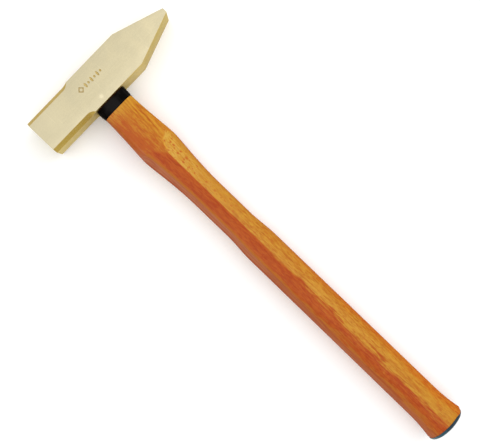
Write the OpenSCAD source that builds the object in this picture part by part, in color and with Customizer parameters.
// Cross pein engineer's hammer: bronze head, bevelled wooden handle, black neck collar.
// The hammer lies on its side. +X runs along the handle to the butt, +Y to the pein, +Z up.
// The origin is on the lower cheek, straight under the middle of the eye.

/* [Head] */
// Length of the head from the striking face to the pein edge
head_l = 118; // [104:0.5:130]
// Height of the head measured along the handle
head_h = 27.5; // [26:0.1:30]
// Thickness of the head from cheek to cheek
head_t = 27.5; // [26:0.1:30]
// Distance from the middle of the eye to the striking face
poll_l = 50; // [44:0.5:54]
// Distance from the middle of the eye to where the pein starts to taper
pein_start = 32; // [26:0.5:40]
// Width of the blunt edge of the pein
pein_w = 3.4; // [2.4:0.1:6]

/* [Poll chamfers] */
// Width of the corner chamfers seen on the cheek
chamfer_cheek = 2.7; // [1.5:0.1:3.5]
// Width of the corner chamfers seen on the top and the underside
chamfer_side = 4.3; // [2:0.1:5.5]
// Distance from the middle of the eye to the full-depth end of the chamfers
chamfer_end = 17.3; // [14:0.1:24]
// Length of the curved run-out of the chamfers
chamfer_runout = 5.3; // [3:0.1:8]

/* [Eye and wedges] */
// Long axis of the eye, along the head
eye_l = 21.5; // [19:0.1:22]
// Short axis of the eye, from cheek to cheek
eye_w = 16; // [14:0.1:17]
// Thickness of the wooden wedge at the crown of the head
wedge_t = 3.2; // [2:0.1:4]
// Thickness of the wooden wedge at its buried edge
wedge_edge = 0.8; // [0.5:0.1:1.5]
// Depth of the wooden wedge in the handle
wedge_depth = 19; // [14:0.5:22]
// Outside diameter of the ring wedge at the crown
ring_d = 12.6; // [11:0.1:13]
// Outside diameter of the ring wedge at its buried edge
ring_edge_d = 12; // [10.5:0.1:12]
// Wall of the ring wedge at the crown
ring_wall = 1.8; // [1.2:0.1:2.2]
// Depth of the ring wedge in the handle
ring_depth = 11; // [8:0.5:13]

/* [Collar] */
// Length of the collar along the handle
collar_l = 8.2; // [5:0.1:12]
// Breadth of the collar against the head
collar_head_w = 25.3; // [24.6:0.1:26]
// Thickness of the collar against the head
collar_head_t = 22; // [21.4:0.1:23]

/* [Handle] */
// Breadth of the handle where it leaves the collar
neck_w = 24; // [23.6:0.1:24.4]
// Thickness of the handle where it leaves the collar
neck_t = 20.6; // [20:0.1:21.4]
// Breadth of the handle at its shoulder
shoulder_w = 28.3; // [27:0.1:30]
// Thickness of the handle at its shoulder
shoulder_t = 23.6; // [22:0.1:25]
// Thickness that the neck's own form reaches at the shoulder
neck_end_t = 22.7; // [21.6:0.1:24.4]
// Distance from the middle of the eye to the shoulder
shoulder_x = 61; // [56:0.5:68]
// Distance from the shoulder to the start of the even waist
shoulder_fall = 41; // [30:1:50]
// Breadth of the handle at its waist
waist_w = 22.5; // [20:0.1:24]
// Thickness of the handle at its waist
waist_t = 20; // [18:0.1:21.5]
// Length of the even waist
waist_l = 33; // [20:1:45]
// Length of the rise from the waist to the grip
grip_rise = 22; // [15:1:40]
// Breadth of the grip
grip_w = 25; // [24:0.1:27]
// Thickness of the grip
grip_t = 22; // [20:0.1:23]
// Extra breadth and thickness gained along the grip before the flare
grip_swell = 0.9; // [0:0.1:1.5]
// Breadth of the flared end
butt_w = 29.8; // [27:0.1:32]
// Thickness of the flared end
butt_t = 25; // [23:0.1:26.5]
// Distance from the middle of the eye to the widest place of the flared end
butt_x = 331.8; // [320:0.2:345]
// Length of the flare
flare_l = 24; // [15:1:40]
// How far the eight bevels of the grip are turned about the handle
bevel_turn = 15; // [0:1:22]
// Length of grip over which the crisp bevels of the waist soften
bevel_fade = 100; // [40:5:120]

/* [End seal] */
// Distance from the widest place of the flared end to the edge of the end seal
seal_back = 1.6; // [1:0.1:2.4]
// Share of its size that the end loses between its widest place and the seal
rim_drop = 0.045; // [0.02:0.005:0.08]
// Height of the domed end seal
seal_h = 3; // [2:0.1:4]

/* [Hidden] */

round_steps = 64;
axis_z = head_t / 2;
crown_x = -head_h / 2;
collar_x = head_h / 2 + collar_l;
seal_x = butt_x + seal_back;
waist_start = shoulder_x + shoulder_fall;
waist_end = waist_start + waist_l;
grip_start = waist_end + grip_rise;
flare_start = butt_x - flare_l;
// Overlap that lets a cutting or joining shape pass cleanly through a face
over = 1;

// Handle sections: points around one section and the step between two sections
section_points = 40;
section_step = 7;
flare_step = 2.5;
// Powers that set how crisp the corners are: higher is crisper
neck_power = 5;
waist_power = 40;
grip_power = 9;
// Power that sets how crisply the neck runs out into the bevels at the shoulder
shoulder_power = 24;
// Powers that bend the neck, the fall from the shoulder to the waist and the rise of the flare
neck_bend = 1.4;
fall_power = 1.6;
flare_power = 2.4;
// Growth and bend of the bevels ahead of the shoulder, where they run out of the neck
run_out = 16;
run_out_power = 1.5;
// Size lost at the shoulder where neck and bevels round into each other
shoulder_trim = 0.6;

bronze = [0.80, 0.74, 0.55];
wood = [0.76, 0.43, 0.16];
wedge_wood = [0.80, 0.62, 0.38];
steel = [0.62, 0.63, 0.65];
black = [0.05, 0.05, 0.05];
seal_blue = [0.08, 0.13, 0.19];

// Easing from 0 to 1 with level ends
function ease(t) = let (u = min(1, max(0, t))) u * u * (3 - 2 * u);
function span(a, b, x) = (x - a) / (b - a);
function between(a, b, t) = a + (b - a) * t;

// Widening of the flare, 0 at its start and 1 at the widest place
function flare(x) = pow(max(0, span(flare_start, butt_x, x)), flare_power);

// Rise from the waist to the shoulder, 1 at the shoulder and steeper ahead of it
function fall(t) = pow(t, fall_power) + run_out * pow(max(0, t - 1), run_out_power);

// Size of the bevelled part of the handle: shoulder, waist, grip and flare in turn
function grip_size(x, shoulder, waist, grip, butt) =
    x < waist_start
        ? waist + (shoulder - waist) * fall(span(waist_start, shoulder_x, x))
        : x < grip_start
            ? between(waist, grip, ease(span(waist_end, grip_start, x)))
            : between(
                grip + grip_swell * span(grip_start, flare_start, min(x, flare_start)),
                butt,
                flare(x)
            );

// Size of the four-sided neck, which goes on widening past the shoulder
function neck_size(x, neck, neck_end) =
    between(neck, neck_end, pow(max(0, span(collar_x, shoulder_x, x)), neck_bend));

// Share of one flat side in a smooth many-sided section
function side(angle, normal, power) = pow(max(0, cos(angle - normal)), power);

function total(values) = values * [for (v = values) 1];

// Distance from the axis to a smooth many-sided section at one angle
function section_radius(count, turn, power, half_w, half_t, angle) =
    let (
        a = atan2(sin(angle) / half_t, cos(angle) / half_w),
        stretch = norm([cos(a) * half_w, sin(a) * half_t]),
        sides = [for (k = [0:count - 1]) side(a, turn + k * 360 / count, power)]
    )
    stretch * pow(total(sides), -1 / power);

// How far turned bevels of unit size reach out along the breadth
function bevel_reach(power) = max([
    for (a = [-45:3:45]) section_radius(8, bevel_turn, power, 1, 1, a) * cos(a)
]);

// The bevels are crisp on the waist and soften along the grip
function bevel_power(x) =
    between(waist_power, grip_power, ease(span(waist_end, waist_end + bevel_fade, x)));

// Distance from the axis to the handle's surface at one angle
function handle_radius(x, angle, power, reach) =
    let (
        neck = section_radius(4, 0, neck_power,
            neck_size(x, neck_w, shoulder_w + shoulder_trim) / 2,
            neck_size(x, neck_t, neck_end_t) / 2, angle),
        grip = section_radius(8, bevel_turn, power,
            grip_size(x, shoulder_w + shoulder_trim, waist_w, grip_w, butt_w) / 2,
            grip_size(x, shoulder_t + shoulder_trim, waist_t, grip_t, butt_t) / 2,
            angle) / reach
    )
    pow(pow(neck, -shoulder_power) + pow(grip, -shoulder_power), -1 / shoulder_power);

function handle_section(x, scale_by) =
    let (power = bevel_power(x), reach = bevel_reach(power)) [
        for (i = [0:section_points - 1])
            let (
                angle = i * 360 / section_points,
                r = handle_radius(x, angle, power, reach) * scale_by
            )
            [x, r * cos(angle), r * sin(angle)]
    ];

// Rounding of the flared end past its widest place, down to the edge of the seal
function rim_scale(x) = 1 - rim_drop * pow(max(0, span(butt_x, seal_x, x)), 2);

// Skin over a row of sections with equal point counts, closed at both ends
module loft(sections) {
    n = len(sections[0]);
    last = len(sections) - 1;
    polyhedron(
        points = [for (s = sections) for (p = s) p],
        faces = concat(
            [[for (j = [0:n - 1]) j]],
            [for (i = [0:last - 1]) for (j = [0:n - 1])
                [i * n + j, (i + 1) * n + j, (i + 1) * n + (j + 1) % n]],
            [for (i = [0:last - 1]) for (j = [0:n - 1])
                [i * n + j, (i + 1) * n + (j + 1) % n, i * n + (j + 1) % n]],
            [[for (j = [n - 1:-1:0]) last * n + j]]
        )
    );
}

// Outline of the eye, long axis across the handle
module eye_outline() {
    for (s = [-1, 1])
        translate([0, s * (eye_l - eye_w) / 2]) circle(d = eye_w, $fn = round_steps);
    square([eye_w, eye_l - eye_w], center = true);
}

// A bar with the outline of the eye that runs along X
module eye_bar(from, to) {
    translate([from, 0, axis_z])
        rotate([0, 90, 0]) linear_extrude(to - from) eye_outline();
}

// Cutter for one corner chamfer: a flat run and the curved run-out behind it
module chamfer_cutter() {
    depth = chamfer_cheek * chamfer_side / norm([chamfer_cheek, chamfer_side]);
    arc_r = (chamfer_runout * chamfer_runout + depth * depth) / (2 * depth);
    lean = atan2(chamfer_side, chamfer_cheek);
    translate([head_h / 2 - chamfer_cheek, 0, head_t])
        rotate([0, lean, 0])
            translate([-head_t / 2, 0, 0])
                rotate([90, 0, 90])
                    linear_extrude(head_t) {
                        translate([-poll_l - over, 0])
                            square([poll_l + over - chamfer_end, arc_r]);
                        translate([-chamfer_end, arc_r])
                            circle(r = arc_r, $fn = round_steps);
                    }
}

module head_outline() {
    polygon([
        [-head_h / 2, -poll_l],
        [head_h / 2, -poll_l],
        [head_h / 2, pein_start],
        [pein_w / 2, head_l - poll_l],
        [-pein_w / 2, head_l - poll_l],
        [-head_h / 2, pein_start]
    ]);
}

module head() {
    color(bronze)
        difference() {
            linear_extrude(head_t) head_outline();
            for (a = [0, 1]) mirror([a, 0, 0]) {
                chamfer_cutter();
                translate([0, 0, head_t]) mirror([0, 0, 1]) chamfer_cutter();
            }
            eye_bar(crown_x - over, head_h / 2 + over);
        }
}

// Wedge section in the plane of the handle and the cheek normal
module kerf_outline() {
    polygon([
        [0, -wedge_t / 2],
        [wedge_depth, -wedge_edge / 2],
        [wedge_depth, wedge_edge / 2],
        [0, wedge_t / 2]
    ]);
}

module kerf_blank() {
    translate([crown_x, eye_l / 2, axis_z])
        rotate([90, 0, 0]) linear_extrude(eye_l) kerf_outline();
}

// Tapered ring driven into the end of the handle
module ring_blank() {
    translate([crown_x, 0, axis_z])
        rotate([0, 90, 0])
            rotate_extrude($fn = round_steps)
                polygon([
                    [ring_d / 2 - ring_wall, 0],
                    [ring_d / 2, 0],
                    [ring_edge_d / 2, ring_depth],
                    [ring_edge_d / 2 - ring_wall / 3, ring_depth]
                ]);
}

module handle() {
    steps = ceil((flare_start - collar_x) / section_step);
    flare_steps = ceil((butt_x - flare_start) / flare_step);
    rim_steps = 2;
    xs = concat(
        [for (i = [0:steps - 1]) between(collar_x, flare_start, i / steps)],
        [for (i = [0:flare_steps - 1]) between(flare_start, butt_x, i / flare_steps)],
        [for (i = [0:rim_steps]) between(butt_x, seal_x, i / rim_steps)]
    );
    color(wood)
        difference() {
            union() {
                translate([0, 0, axis_z])
                    loft([for (x = xs) handle_section(x, rim_scale(x))]);
                eye_bar(crown_x, collar_x + over);
            }
            kerf_blank();
            ring_blank();
        }
}

module kerf_wedge() {
    color(wedge_wood)
        difference() {
            intersection() {
                kerf_blank();
                eye_bar(crown_x, crown_x + wedge_depth);
            }
            ring_blank();
        }
}

module ring_wedge() {
    color(steel) ring_blank();
}

// Collar section that grows from the neck's outline to its size at the head
function collar_section(x) =
    let (t = span(collar_x, head_h / 2, x))
    [for (i = [0:section_points - 1])
        let (
            angle = i * 360 / section_points,
            r = section_radius(4, 0, neck_power,
                between(neck_w, collar_head_w, t) / 2,
                between(neck_t, collar_head_t, t) / 2, angle)
        )
        [x, r * cos(angle), r * sin(angle)]];

module neck_collar() {
    color(black)
        difference() {
            translate([0, 0, axis_z])
                loft([collar_section(head_h / 2), collar_section(collar_x)]);
            eye_bar(head_h / 2 - over, collar_x + over);
        }
}

// Domed seal on the end grain
module butt_seal() {
    rings = 6;
    last_slope = 80;
    edge = handle_section(seal_x, rim_scale(seal_x));
    color(seal_blue)
        translate([0, 0, axis_z])
            loft([
                for (i = [0:rings])
                    let (
                        slope = last_slope * i / rings,
                        x = seal_x + seal_h * sin(slope) / sin(last_slope),
                        shrink = sqrt(cos(slope))
                    )
                    [for (p = edge) [x, p[1] * shrink, p[2] * shrink]]
            ]);
}

head();
handle();
kerf_wedge();
ring_wedge();
neck_collar();
butt_seal();
